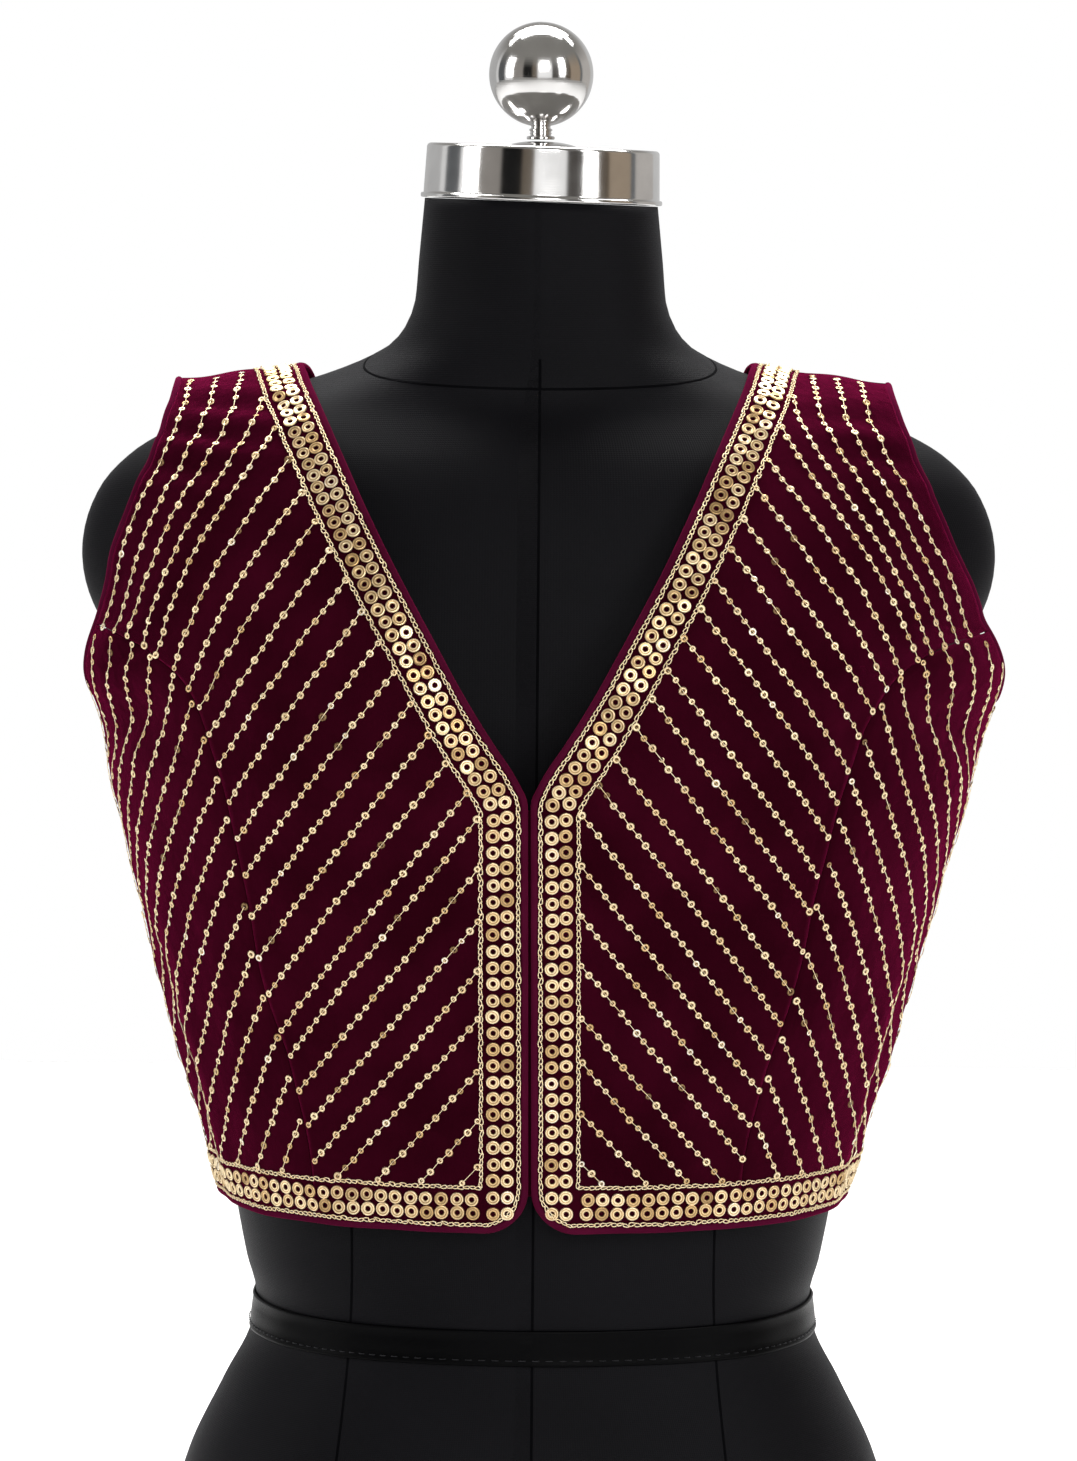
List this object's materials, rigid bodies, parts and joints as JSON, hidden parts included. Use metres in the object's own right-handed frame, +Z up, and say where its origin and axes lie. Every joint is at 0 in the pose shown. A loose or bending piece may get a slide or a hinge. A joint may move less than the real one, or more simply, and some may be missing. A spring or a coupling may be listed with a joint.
{
  "type": "choli blouse on a dress form",
  "caption": "Sleeveless maroon blouse with a deep V neck, open front, princess seams and gold bands, worn by a black limbless dress form cut flat at the hip.",
  "frame": {"origin": "on the surface that the form stands on, at the middle of the whole part's box", "axes": "+Z up, front of the blouse towards -Y, the wearer's left towards +X"},
  "size_m": [0.4087, 0.2602, 0.8107],
  "materials": {
    "cloth": "satin",
    "piping": "satin",
    "form_cover": "matte",
    "ribbon": "satin",
    "chrome": "polished"
  },
  "bodies": {
    "root": {"front_left": "cloth", "front_right": "cloth", "side_front_left": "cloth", "side_front_right": "cloth", "back": "cloth", "underlap": "cloth", "binding_edge": "piping", "binding_armhole_left": "piping", "binding_armhole_right": "piping", "form_torso": "form_cover", "form_pad_left": "form_cover", "form_pad_right": "form_cover", "form_ribbon": "ribbon", "form_cap": "chrome", "form_finial": "chrome"}
  },
  "joints": []
}
